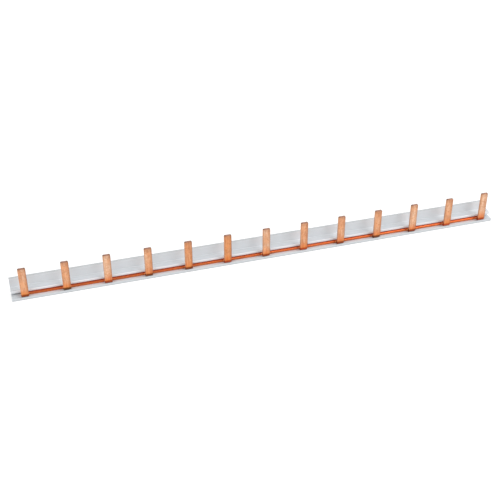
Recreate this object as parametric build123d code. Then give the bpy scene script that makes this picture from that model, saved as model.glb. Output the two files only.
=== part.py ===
"""Comb busbar: a bent copper comb of thirteen pins, pushed into a grey extruded insulating profile.

Millimetres. X runs along the bar, the pins stand on the -Y side and point up (+Z), and the insulating
wall stands behind them on the +Y side. The origin is at the middle of the bar's underside.
Both pieces are drawn from two faces that they share: y = 0 is the front face of the pins, and z = 0 is
the underside of the copper, which lies on the floor of the profile. They are moved together at the end.
"""
from build123d import *
from math import sqrt
import os

# Copper comb, stamped from one strip and bent
PIN_COUNT = 13
PITCH = 17.8                # one module of a rail-mounted breaker
PIN_WIDTH = 3.3
COPPER_THICKNESS = 1.2
PIN_HEIGHT = 15.0           # pin tip above the underside of the copper
BEND_INNER_RADIUS = 0.4
TAB_LENGTH = 0.4            # flat run between the bend and the front edge of the spine
ROOT_FILLET = 0.35          # rounds the corners where a pin leaves the spine
SPINE_DEPTH = 4.4           # front edge to back edge of the spine
TIP_CORNER_RADIUS = 0.5     # rounds the two corners of a pin tip, seen from the front
EDGE_CHAMFER = 0.2          # broken edges all round the outline of the comb, on both sides of the strip

# Insulating profile, one extrusion
PROFILE_OVERHANG = 5.7      # profile beyond the centre of the end pins
FLOOR_THICKNESS = 1.2
SHELF_THICKNESS = 1.1
WALL_THICKNESS = 1.1
WALL_HEIGHT = 6.9           # top of the wall above the floor's upper face
SHELF_SETBACK = 1.0         # shelf nose behind the front edge of the spine
LIP_HEIGHT = 0.24           # front lip above the floor's upper face
EDGE_RADIUS = 0.25          # rounding of the outer edges
NOSE_UNDER_RADIUS = 0.1     # sharper lower edge of the shelf's nose, close above the copper
CORNER_RADIUS = 0.25        # fillet between the shelf and the wall

# Fits between the two pieces
SLOT_CLEARANCE = 0.05       # shelf above the copper
BACK_CLEARANCE = 0.1        # wall behind the copper
LIP_CLEARANCE = 0.15        # lip around the outside of the bends

# Limits that keep a changed size buildable
ROOM_SHARE = 0.9            # most of the room beside an edge that its rounding may take
SAME_PLACE = 0.001          # two positions closer than this are one corner

bend_radius = BEND_INNER_RADIUS + COPPER_THICKNESS
spine_front = bend_radius + TAB_LENGTH
spine_back = spine_front + SPINE_DEPTH
pin_span = (PIN_COUNT - 1) * PITCH
spine_length = pin_span + PIN_WIDTH
profile_length = pin_span + 2 * PROFILE_OVERHANG
wall_front = spine_back + BACK_CLEARANCE
wall_back = wall_front + WALL_THICKNESS
shelf_nose = spine_front + SHELF_SETBACK
shelf_under = COPPER_THICKNESS + SLOT_CLEARANCE
shelf_top = shelf_under + SHELF_THICKNESS

# The hollow in the lip is an arc about the bend axis: it runs from its foot on the floor to the lip's front
hollow_radius = bend_radius + LIP_CLEARANCE
lip_front = bend_radius - sqrt(hollow_radius**2 - (bend_radius - LIP_HEIGHT)**2)
hollow_foot = bend_radius - sqrt(hollow_radius**2 - bend_radius**2)


def fitting(radius, room):
    """The radius, or less where the room beside the edge is too small for it."""
    return min(radius, ROOM_SHARE * room)


def bent_strip_section():
    """Side view of one pin: tab, quarter bend and upright, with one strip thickness throughout."""
    with BuildSketch(Plane.YZ.offset(-PIN_WIDTH / 2)) as section:
        with BuildLine():
            under = Line((spine_front, 0), (bend_radius, 0))
            outside = RadiusArc(under @ 1, (0, bend_radius), bend_radius)
            front = Line(outside @ 1, (0, PIN_HEIGHT))
            tip = Line(front @ 1, (COPPER_THICKNESS, PIN_HEIGHT))
            back = Line(tip @ 1, (COPPER_THICKNESS, bend_radius))
            inside = RadiusArc(back @ 1, (bend_radius, COPPER_THICKNESS), -BEND_INNER_RADIUS)
            over = Line(inside @ 1, (spine_front, COPPER_THICKNESS))
            Line(over @ 1, under @ 0)
        make_face()
    return section.sketch


def pin_front_outline():
    """Front view of one pin: straight sides and a tip with rounded corners."""
    with BuildSketch(Plane.XZ.offset(-spine_front)) as outline:
        with Locations((0, PIN_HEIGHT / 2)):
            Rectangle(PIN_WIDTH, PIN_HEIGHT)
        tip_corners = outline.vertices().group_by(Axis.Y)[-1]
        fillet(tip_corners, fitting(TIP_CORNER_RADIUS, PIN_WIDTH / 2))
    return outline.sketch


def pin():
    """One pin with its bend and tab, centred on x = 0."""
    side_view = extrude(bent_strip_section(), amount=PIN_WIDTH)
    front_view = extrude(pin_front_outline(), amount=spine_front)
    return side_view & front_view


def spine():
    """Flat back of the comb in plan, with a tab at each pin and the inner corners rounded."""
    with BuildSketch() as plan:
        with Locations((0, spine_front + SPINE_DEPTH / 2)):
            Rectangle(spine_length, SPINE_DEPTH)
        with Locations((0, bend_radius + TAB_LENGTH / 2)):
            with GridLocations(PITCH, 0, PIN_COUNT, 1):
                Rectangle(PIN_WIDTH, TAB_LENGTH)
        roots = [
            corner
            for corner in plan.vertices()
            if abs(corner.Y - spine_front) < SAME_PLACE and abs(corner.X) < spine_length / 2 - SAME_PLACE
        ]
        fillet(roots, fitting(ROOT_FILLET, TAB_LENGTH))
    return extrude(plan.sketch, amount=COPPER_THICKNESS)


def copper_comb():
    """The whole comb, one piece of copper.

    The chamfer starts at the front and back edges of the tips and runs on along every edge that continues
    them smoothly: down the pins, round the bends and roots, and along the front of the spine.
    """
    comb = spine() + GridLocations(PITCH, 0, PIN_COUNT, 1) * pin()
    tip_edges = comb.faces().group_by(Axis.Z)[-1].edges().filter_by(Axis.X)
    return chamfer(tip_edges, fitting(EDGE_CHAMFER, COPPER_THICKNESS / 2))


def profile_section():
    """Floor with a hollowed front lip, a shelf that makes the slot, and the tall wall behind the pins."""
    with BuildSketch(Plane.YZ.offset(-profile_length / 2)) as section:
        with BuildLine():
            hollow = RadiusArc((hollow_foot, 0), (lip_front, LIP_HEIGHT), hollow_radius)
            Polyline(
                hollow @ 1,
                (lip_front, -FLOOR_THICKNESS),
                (wall_back, -FLOOR_THICKNESS),
                (wall_back, WALL_HEIGHT),
                (wall_front, WALL_HEIGHT),
                (wall_front, shelf_top),
                (shelf_nose, shelf_top),
                (shelf_nose, shelf_under),
                (wall_front, shelf_under),
                (wall_front, 0),
                hollow @ 0,
            )
        make_face()
        soften(section, [(lip_front, -FLOOR_THICKNESS), (wall_back, -FLOOR_THICKNESS)], FLOOR_THICKNESS)
        soften(section, [(wall_back, WALL_HEIGHT), (wall_front, WALL_HEIGHT)], WALL_THICKNESS)
        soften(section, [(shelf_nose, shelf_top)], SHELF_THICKNESS)
        soften(section, [(shelf_nose, shelf_under)], SHELF_THICKNESS, NOSE_UNDER_RADIUS)
        fillet(corners_at(section, [(wall_front, shelf_top)]), CORNER_RADIUS)
    return section.sketch


def corners_at(section, points):
    """The corners of a side view at the given (y, z) points, which the sketch calls X and Y."""
    return [
        corner
        for corner in section.vertices()
        if any(abs(corner.X - y) + abs(corner.Y - z) < SAME_PLACE for y, z in points)
    ]


def soften(section, points, thickness, radius=EDGE_RADIUS):
    """Round the outer corners of a wall of the given thickness."""
    fillet(corners_at(section, points), fitting(radius, thickness / 2))


def insulating_profile():
    """The extruded profile, sawn square at both ends."""
    return extrude(profile_section(), amount=profile_length)


def main():
    middle = (min(lip_front, 0) + wall_back) / 2
    to_part_frame = Location((0, -middle, FLOOR_THICKNESS))
    os.makedirs("parts", exist_ok=True)
    export_step(copper_comb().moved(to_part_frame), "parts/copper_comb.step")
    export_step(insulating_profile().moved(to_part_frame), "parts/insulating_profile.step")


main()
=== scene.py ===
import math

import bpy
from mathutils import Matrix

# Comb busbar: the finishes of its two pieces, the studio and the camera, in the frame of the solids
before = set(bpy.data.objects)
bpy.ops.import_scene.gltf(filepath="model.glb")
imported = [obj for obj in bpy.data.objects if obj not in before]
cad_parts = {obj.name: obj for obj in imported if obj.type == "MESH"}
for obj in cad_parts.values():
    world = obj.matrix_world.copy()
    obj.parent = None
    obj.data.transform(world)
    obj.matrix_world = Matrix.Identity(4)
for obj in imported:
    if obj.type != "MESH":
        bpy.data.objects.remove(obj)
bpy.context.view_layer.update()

MM = 0.001                  # metres, which are the unit of the frame

# Places on the bar in millimetres, from the middle of its underside: Y runs to the back, Z runs up
PIN_PITCH = 17.8            # from one pin to the next, one breaker module
PIN_TIP = 16.2              # top of the pins
PIN_FOOT = 7.4              # where the pins' colour starts to deepen
SPINE_TOP = 2.4             # upper face of the copper between the pins
SPINE_FRONT = -1.8          # sheared front edge of the copper between the pins
OPEN_FLOOR = -1.9           # floor that lies open in front of the copper, as far as the lip
SHELF_TOP = 3.55            # upper face of the shelf over the copper
SHELF_NOSE = -0.8           # front face of the shelf
WALL_FRONT = 2.7            # front face of the wall
WALL_TOP = 8.1              # top edge of the wall

# Patterns, in marks per millimetre
STREAKS = 1.4               # polishing streaks 0.7 mm wide
FINE_STREAKS = 4.2          # polishing streaks 0.24 mm wide
PATCHES = 0.33              # cloudy patches of handling 3 mm across
SPECKS = 1.4                # specks 0.7 mm across
DIE_LINES = 3.0             # 0.3 mm apart, drawn about three times as coarse as real ones so that they show
CLOUDS = 0.12               # faint clouds in the plastic 8 mm across
SAW_MARKS = 4.0             # 0.25 mm apart
NOISE_SPREAD = {"From Min": 0.3, "From Max": 0.7}       # holds most of a pattern's values

TONE_SEED = 204989          # picks the row of tones that the thirteen pins get

# Studio
PAPER_REACH = 0.5           # metres from the middle of the paper to its edges
PAPER_GLOW = 0.55           # brings the paper up to white for the camera
ROOM_LIGHT = 0.5            # strength of the white room's light on the bar
WHITE = 1.0                 # strength at which the camera sees the room as white

# Camera, fitted to the edges of the pins and of the profile in the photograph
CAMERA_PLACE = (-0.10901, -0.34356, 0.24702)            # metres
CAMERA_DROP = 34.159        # degrees that it looks down
CAMERA_TURN = 16.595        # degrees that it looks to the right
FOCAL_LENGTH = 963.97       # pixels
IMAGE_HEIGHT = 501          # pixels, the long side of the picture
SENSOR = 36.0               # millimetres of sensor along the picture's long side


def colour(hex_code):
    """An sRGB hex colour as the linear colour that a shader takes."""
    parts = [int(hex_code[i:i + 2], 16) / 255 for i in (1, 3, 5)]
    return tuple(c / 12.92 if c <= 0.04045 else ((c + 0.055) / 1.055) ** 2.4 for c in parts) + (1.0,)


def add(tree, kind, inputs=None, **settings):
    """Adds a shader node with its settings. Each input takes a value, a hex colour, a socket or a node.

    A Mix has its share at input 0, two values at 2 and 3, and two colours at 6 and 7.
    """
    made = tree.nodes.new("ShaderNode" + kind)
    for name, value in settings.items():
        setattr(made, name, value)
    for name, value in (inputs or {}).items():
        if isinstance(value, bpy.types.Node):
            value = next(socket for socket in value.outputs if socket.enabled)
        if isinstance(value, bpy.types.NodeSocket):
            tree.links.new(value, made.inputs[name])
        elif isinstance(value, str):
            made.inputs[name].default_value = colour(value)
        else:
            made.inputs[name].default_value = value
    return made


def empty_tree(owner):
    """The node tree of a material or a world, with nothing in it."""
    owner.use_nodes = True
    owner.node_tree.nodes.clear()
    return owner.node_tree


def new_material(name):
    """A material with no shader yet, and the place in millimetres and facing of each point on the piece."""
    material = bpy.data.materials.new(name)
    tree = empty_tree(material)
    where = add(tree, "TexCoord").outputs
    place = add(tree, "VectorMath", {0: where["Object"], 3: 1 / MM}, operation="SCALE")
    spot = add(tree, "SeparateXYZ", {0: place})
    facing = add(tree, "SeparateXYZ", {0: where["Normal"]})
    return material, tree, place, spot.outputs, facing.outputs


def rolled_copper():
    """Cold-rolled copper strip, stamped and bent.

    The rolled faces are pale and satin, with polishing streaks along the pins and blotches where they were
    handled. The edges that the press cut are browner and rougher. Towards the bends the copper is painted a
    deep red-orange as shade and copper-on-copper reflection in the channel; it is the strongest colour on
    the object and covers the whole spine. The undersides of the bends are painted dark as shade.
    """
    material, tree, place, spot, facing = new_material("rolled_copper")

    # Polishing streaks that run up the pins, cloudy patches of handling, and specks
    along_pin = add(tree, "Mapping", {"Vector": place, "Scale": (1.0, 1.0, 0.15)})
    streaks = add(tree, "TexNoise", {"Vector": along_pin, "Scale": STREAKS, "Detail": 2.0})
    fine_streaks = add(tree, "TexNoise",
                       {"Vector": along_pin, "Scale": FINE_STREAKS, "Detail": 3.0, "Roughness": 0.6})
    patches = add(tree, "TexNoise", {"Vector": place, "Scale": PATCHES, "Detail": 3.0, "Roughness": 0.55})
    specks = add(tree, "TexNoise", {"Vector": place, "Scale": SPECKS, "Detail": 3.0})

    # Some pins are tarnished to a fuller orange than others
    pin_number = add(tree, "Math", {0: spot["X"], 1: PIN_PITCH}, operation="DIVIDE")
    pin_number = add(tree, "Math", {0: pin_number}, operation="ROUND")
    pin_seed = add(tree, "Math", {0: pin_number, 1: TONE_SEED}, operation="ADD")
    pin_tone = add(tree, "TexWhiteNoise", {"W": pin_seed}, noise_dimensions="1D").outputs
    tarnish = add(tree, "Mix", {0: pin_tone["Value"], 6: "#F1CAA6", 7: "#FFFFFF"}, data_type="RGBA")

    # Pale rolled faces
    streak_share = add(tree, "MapRange", {"Value": streaks, "From Min": 0.35, "From Max": 0.65})
    fine_share = add(tree, "MapRange", {"Value": fine_streaks, **NOISE_SPREAD, "To Max": 0.5})
    patch_share = add(tree, "MapRange", {"Value": patches, "From Min": 0.4, "From Max": 0.7, "To Max": 0.7})
    speck_share = add(tree, "MapRange", {"Value": specks, "From Min": 0.5, "From Max": 0.7, "To Max": 0.7})
    rolled = add(tree, "Mix", {0: streak_share, 6: "#CB997A", 7: "#EBCFB5"}, data_type="RGBA")
    for share, tone in ((fine_share, "#D39E7F"), (patch_share, "#EBB286"), (speck_share, "#C08963")):
        rolled = add(tree, "Mix", {0: share, 6: rolled, 7: tone}, data_type="RGBA")
    rolled = add(tree, "Mix", {0: 1.0, 6: rolled, 7: tarnish}, data_type="RGBA", blend_type="MULTIPLY")

    # Painted shade and copper-on-copper reflection: deep red-orange from the foot of the pins down,
    # speckled on the spine, with a painted highlight on its sheared front edge
    uneven = add(tree, "MapRange", {"Value": specks, **NOISE_SPREAD})
    deep = add(tree, "Mix", {0: uneven, 6: "#9C3E1E", 7: "#BA522D"}, data_type="RGBA")
    front_edge_highlight = add(tree, "MapRange", {"Value": facing["Y"], "From Min": -0.75, "From Max": -0.9})
    deep = add(tree, "Mix", {0: front_edge_highlight, 6: deep, 7: "#D8683C"}, data_type="RGBA")
    foot = add(tree, "Mix", {0: streak_share, 6: "#CE6A39", 7: "#DF8B48"}, data_type="RGBA")
    on_pin = add(tree, "MapRange",
                 {"Value": spot["Y"], "From Min": SPINE_FRONT + 0.1, "From Max": SPINE_FRONT - 0.1})
    deep = add(tree, "Mix", {0: on_pin, 6: deep, 7: foot}, data_type="RGBA")
    low = add(tree, "MapRange", {"Value": spot["Z"], "From Min": PIN_FOOT, "From Max": SPINE_TOP},
              interpolation_type="SMOOTHSTEP")
    body = add(tree, "Mix", {0: low, 6: rolled, 7: deep}, data_type="RGBA")

    # Painted shade: both long edges of a pin darker, the right one more, as on a rounded face lit from the
    # left
    pin_middle = add(tree, "Math", {0: pin_number, 1: PIN_PITCH}, operation="MULTIPLY")
    across = add(tree, "Math", {0: spot["X"], 1: pin_middle}, operation="SUBTRACT")
    right_edge_shade = add(tree, "MapRange", {"Value": across, "From Min": 0.0, "From Max": 1.6, "To Max": 0.55},
                     interpolation_type="SMOOTHSTEP")
    left_edge_shade = add(tree, "MapRange", {"Value": across, "From Min": -1.1, "From Max": -1.6, "To Max": 0.2})
    pin_edge_shade = add(tree, "Math", {0: right_edge_shade, 1: left_edge_shade}, operation="ADD")
    pin_edge_shade = add(tree, "Math", {0: pin_edge_shade, 1: on_pin}, operation="MULTIPLY")
    body = add(tree, "Mix", {0: pin_edge_shade, 6: body, 7: "#B07350"}, data_type="RGBA")

    # Cut flanks, with painted shade on the right-facing one
    flank = add(tree, "Math", {0: facing["X"]}, operation="ABSOLUTE")
    flank = add(tree, "MapRange", {"Value": flank, "From Min": 0.5, "From Max": 0.9},
                interpolation_type="SMOOTHSTEP")
    right_flank_shade = add(tree, "MapRange", {"Value": facing["X"], "From Min": -0.3, "From Max": 0.5})
    flank_tone_and_shade = add(tree, "Mix", {0: right_flank_shade, 6: "#D19A74", 7: "#8E5A3C"}, data_type="RGBA")
    body = add(tree, "Mix", {0: flank, 6: body, 7: flank_tone_and_shade}, data_type="RGBA")

    # Cut tips, darkest at their corners, and the last 2 mm of the faces a little darker towards them
    near_tip = add(tree, "MapRange", {"Value": spot["Z"], "To Max": 0.25,
                                      "From Min": PIN_TIP - 2.2, "From Max": PIN_TIP - 0.6})
    at_tip = add(tree, "MapRange",
                 {"Value": spot["Z"], "From Min": PIN_TIP - 0.35, "From Max": PIN_TIP - 0.15})
    tip = add(tree, "Math", {0: near_tip, 1: at_tip}, operation="MAXIMUM")
    off_middle = add(tree, "Math", {0: across}, operation="ABSOLUTE")
    tip_corner = add(tree, "MapRange", {"Value": off_middle, "From Min": 0.9, "From Max": 1.5})
    tip_tone = add(tree, "Mix", {0: tip_corner, 6: "#8A6453", 7: "#57402F"}, data_type="RGBA")
    body = add(tree, "Mix", {0: tip, 6: body, 7: tip_tone}, data_type="RGBA")

    # Painted shade on the outside of the bends, nearly black on some pins and rusty red on others
    outside = add(tree, "MapRange",
                  {"Value": spot["Y"], "From Min": SPINE_FRONT - 0.1, "From Max": SPINE_FRONT - 0.4})
    in_bend = add(tree, "MapRange",
                  {"Value": spot["Z"], "From Min": SPINE_TOP + 1.2, "From Max": SPINE_TOP + 0.3},
                  interpolation_type="SMOOTHSTEP")
    bend_shade = add(tree, "Math", {0: outside, 1: in_bend}, operation="MULTIPLY")
    bend_shade_pick = add(tree, "SeparateColor", {0: pin_tone["Color"]}).outputs
    bend_shade_tone = add(tree, "Mix", {0: bend_shade_pick["Green"], 6: "#503619", 7: "#B04A26"}, data_type="RGBA")
    body = add(tree, "Mix", {0: bend_shade, 6: body, 7: bend_shade_tone}, data_type="RGBA")

    # Satin in the streaks, rough where the press cut
    cut = add(tree, "Math", {0: flank, 1: at_tip}, operation="MAXIMUM")
    gloss = add(tree, "MapRange", {"Value": fine_streaks, **NOISE_SPREAD, "To Min": 0.27, "To Max": 0.4})
    gloss = add(tree, "Mix", {0: cut, 2: gloss, 3: 0.52})
    relief = add(tree, "Bump", {"Height": fine_streaks, "Strength": 0.3, "Distance": 0.02 * MM})
    shader = add(tree, "BsdfPrincipled",
                 {"Base Color": body, "Metallic": 1.0, "Roughness": gloss, "Normal": relief})
    add(tree, "OutputMaterial", {"Surface": shader})
    return material


def extruded_pvc():
    """Rigid PVC, extruded and sawn: light cool grey and satin, with faint die lines along the bar.

    The sawn ends are duller and a little whiter, because the saw breaks up the skin. The corner between
    shelf and wall, the wall's top edge and the lip are painted darker than the faces beside them, as shade,
    and the lip is darkest along its lower edge. The nose of the shelf has a painted highlight, whiter over
    the copper.
    """
    material, tree, place, spot, facing = new_material("extruded_pvc")

    # Skin with die lines along the bar, over faint clouds
    along_bar = add(tree, "Mapping", {"Vector": place, "Scale": (0.004, 1.0, 1.0)})
    die_lines = add(tree, "TexNoise",
                    {"Vector": along_bar, "Scale": DIE_LINES, "Detail": 3.0, "Roughness": 0.6})
    clouds = add(tree, "TexNoise", {"Vector": place, "Scale": CLOUDS, "Detail": 2.0})
    skin = add(tree, "ValToRGB", {"Fac": die_lines})
    for stop, along, tone in zip(skin.color_ramp.elements, NOISE_SPREAD.values(), ("#C7CCD0", "#CCD1D5")):
        stop.position = along
        stop.color = colour(tone)
    shade = add(tree, "Mix", {0: clouds, 6: skin, 7: "#D0D4D8"}, data_type="RGBA")

    # Painted shade on the wall's top edge, which faces up to the lamps
    top_edge_shade = add(tree, "MapRange", {"Value": spot["Z"], "To Max": 0.8,
                                      "From Min": WALL_TOP - 0.25, "From Max": WALL_TOP - 0.05})

    # Painted shade in the corner between the shelf and the wall
    to_wall = add(tree, "MapRange", {"Value": spot["Y"], "To Max": 0.18,
                                     "From Min": WALL_FRONT - 1.7, "From Max": WALL_FRONT - 0.4},
                  interpolation_type="SMOOTHSTEP")
    to_shelf = add(tree, "MapRange",
                   {"Value": spot["Z"], "From Min": SHELF_TOP + 0.9, "From Max": SHELF_TOP + 0.1})
    shelf_corner_shade = add(tree, "Math", {0: to_wall, 1: to_shelf}, operation="MULTIPLY")

    # Painted shade on the open floor and the lip, darkest along the lip's lower edge
    on_lip = add(tree, "MapRange",
                 {"Value": spot["Y"], "From Min": OPEN_FLOOR, "From Max": OPEN_FLOOR - 0.3})
    lip_shade_share = add(tree, "MapRange", {"Value": spot["Z"], "From Min": 0.9, "From Max": 0.4,
                                      "To Min": 0.19, "To Max": 0.48})
    lip_shade = add(tree, "Math", {0: on_lip, 1: lip_shade_share}, operation="MULTIPLY")

    # Painted shade: the top edge, the corner and the lip darkened towards grey
    painted_shade = add(tree, "Math", {0: top_edge_shade, 1: shelf_corner_shade}, operation="MAXIMUM")
    painted_shade = add(tree, "Math", {0: painted_shade, 1: lip_shade}, operation="MAXIMUM")
    shade = add(tree, "Mix", {0: painted_shade, 6: shade, 7: "#A4A8AA"}, data_type="RGBA")

    # Painted highlight on the nose of the shelf, over the copper
    at_nose = add(tree, "MapRange", {"Value": spot["Y"], "To Max": 0.6,
                                     "From Min": SHELF_NOSE + 0.2, "From Max": SHELF_NOSE + 0.05})
    over_copper = add(tree, "MapRange",
                      {"Value": spot["Z"], "From Min": SPINE_TOP - 0.4, "From Max": SPINE_TOP - 0.2})
    nose_highlight = add(tree, "Math", {0: at_nose, 1: over_copper}, operation="MULTIPLY")
    shade = add(tree, "Mix", {0: nose_highlight, 6: shade, 7: "#E2E6EA"}, data_type="RGBA")

    # Sawn ends, with the marks of the saw aslant
    end = add(tree, "Math", {0: facing["X"]}, operation="ABSOLUTE")
    end = add(tree, "MapRange", {"Value": end, "From Min": 0.9, "From Max": 0.98})
    across_end = add(tree, "Mapping",
                     {"Vector": place, "Rotation": (math.radians(35), 0, 0), "Scale": (1.0, 0.15, 1.0)})
    saw_marks = add(tree, "TexNoise", {"Vector": across_end, "Scale": SAW_MARKS, "Detail": 3.0})
    shade = add(tree, "Mix", {0: end, 6: shade, 7: "#D9DBDA"}, data_type="RGBA")

    # Satin skin, duller where it is sawn
    gloss = add(tree, "MapRange", {"Value": die_lines, **NOISE_SPREAD, "To Min": 0.36, "To Max": 0.46})
    gloss = add(tree, "Mix", {0: end, 2: gloss, 3: 0.7})
    height = add(tree, "Mix", {0: end, 2: die_lines, 3: saw_marks})
    relief = add(tree, "Bump", {"Height": height, "Strength": 0.2, "Distance": 0.03 * MM})
    shader = add(tree, "BsdfPrincipled",
                 {"Base Color": shade, "Roughness": gloss, "IOR": 1.54, "Normal": relief})
    add(tree, "OutputMaterial", {"Surface": shader})
    return material


def seen_directly(tree):
    """1 for what the camera sees, mirrored or through glass too, and 0 for light that falls on the bar."""
    ray = add(tree, "LightPath").outputs
    seen = add(tree, "Math", {0: ray["Is Camera Ray"], 1: ray["Is Glossy Ray"]}, operation="MAXIMUM")
    return add(tree, "Math", {0: seen, 1: ray["Is Transmission Ray"]}, operation="MAXIMUM")


def white_paper():
    """Studio paper: matt white, and lit up for what the camera sees of it, so that the ground is white."""
    material = bpy.data.materials.new("white_paper")
    tree = empty_tree(material)
    paper = add(tree, "BsdfDiffuse", {"Color": "#BEBEBE"})
    strength = add(tree, "Math", {0: seen_directly(tree), 1: PAPER_GLOW}, operation="MULTIPLY")
    glow = add(tree, "Emission", {"Strength": strength})
    both = add(tree, "AddShader", {0: paper, 1: glow})
    add(tree, "OutputMaterial", {"Surface": both})
    return material


def put_in_scene(name, data, place=(0, 0, 0)):
    """An object in the scene, made of a mesh, a lamp or a camera."""
    made = bpy.data.objects.new(name, data)
    made.location = place
    bpy.context.scene.collection.objects.link(made)
    return made


def soft_lamp(name, place, size, power):
    """A square soft box that faces the middle of the bar: place and size in metres, power in watts."""
    lamp = bpy.data.lights.new(name, "AREA")
    lamp.size = size
    lamp.energy = power
    holder = put_in_scene(name, lamp, place)
    holder.rotation_euler = (-holder.location).to_track_quat("-Z", "Y").to_euler()


def studio():
    """A sheet of white paper under the bar, a white room and three large soft lamps."""
    mesh = bpy.data.meshes.new("paper")
    corners = [(x * PAPER_REACH, y * PAPER_REACH, 0) for x, y in ((-1, -1), (1, -1), (1, 1), (-1, 1))]
    mesh.from_pydata(corners, [], [(0, 1, 2, 3)])
    mesh.materials.append(white_paper())
    paper = put_in_scene("paper", mesh)

    world = bpy.data.worlds.new("white_room")
    bpy.context.scene.world = world
    tree = empty_tree(world)
    strength = add(tree, "MapRange", {"Value": seen_directly(tree), "To Min": ROOM_LIGHT, "To Max": WHITE})
    room = add(tree, "Background", {"Color": "#FFFFFF", "Strength": strength})
    add(tree, "OutputWorld", {"Surface": room})

    soft_lamp("left_lamp", place=(-1.1, -0.9, 1.0), size=1.4, power=16.2)
    soft_lamp("right_lamp", place=(1.1, -0.9, 1.0), size=1.4, power=25.0)
    soft_lamp("back_lamp", place=(0.3, 1.2, 0.5), size=1.2, power=6.0)


def camera():
    """Stands where the photograph's camera stood: left of the middle and above, looking to the right."""
    lens = bpy.data.cameras.new("camera")
    lens.sensor_width = SENSOR
    lens.lens = FOCAL_LENGTH * SENSOR / IMAGE_HEIGHT
    lens.clip_start = 0.01
    lens.clip_end = 20.0
    holder = put_in_scene("camera", lens, CAMERA_PLACE)
    holder.rotation_euler = (math.radians(90 - CAMERA_DROP), 0, math.radians(-CAMERA_TURN))
    bpy.context.scene.camera = holder


def dress(node, material):
    """Gives a piece of the frame its finish."""
    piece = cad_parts[node]
    piece.data.materials.clear()
    piece.data.materials.append(material)


dress("copper_comb", rolled_copper())
dress("insulating_profile", extruded_pvc())
studio()
camera()
bpy.context.scene.view_settings.view_transform = "Standard"
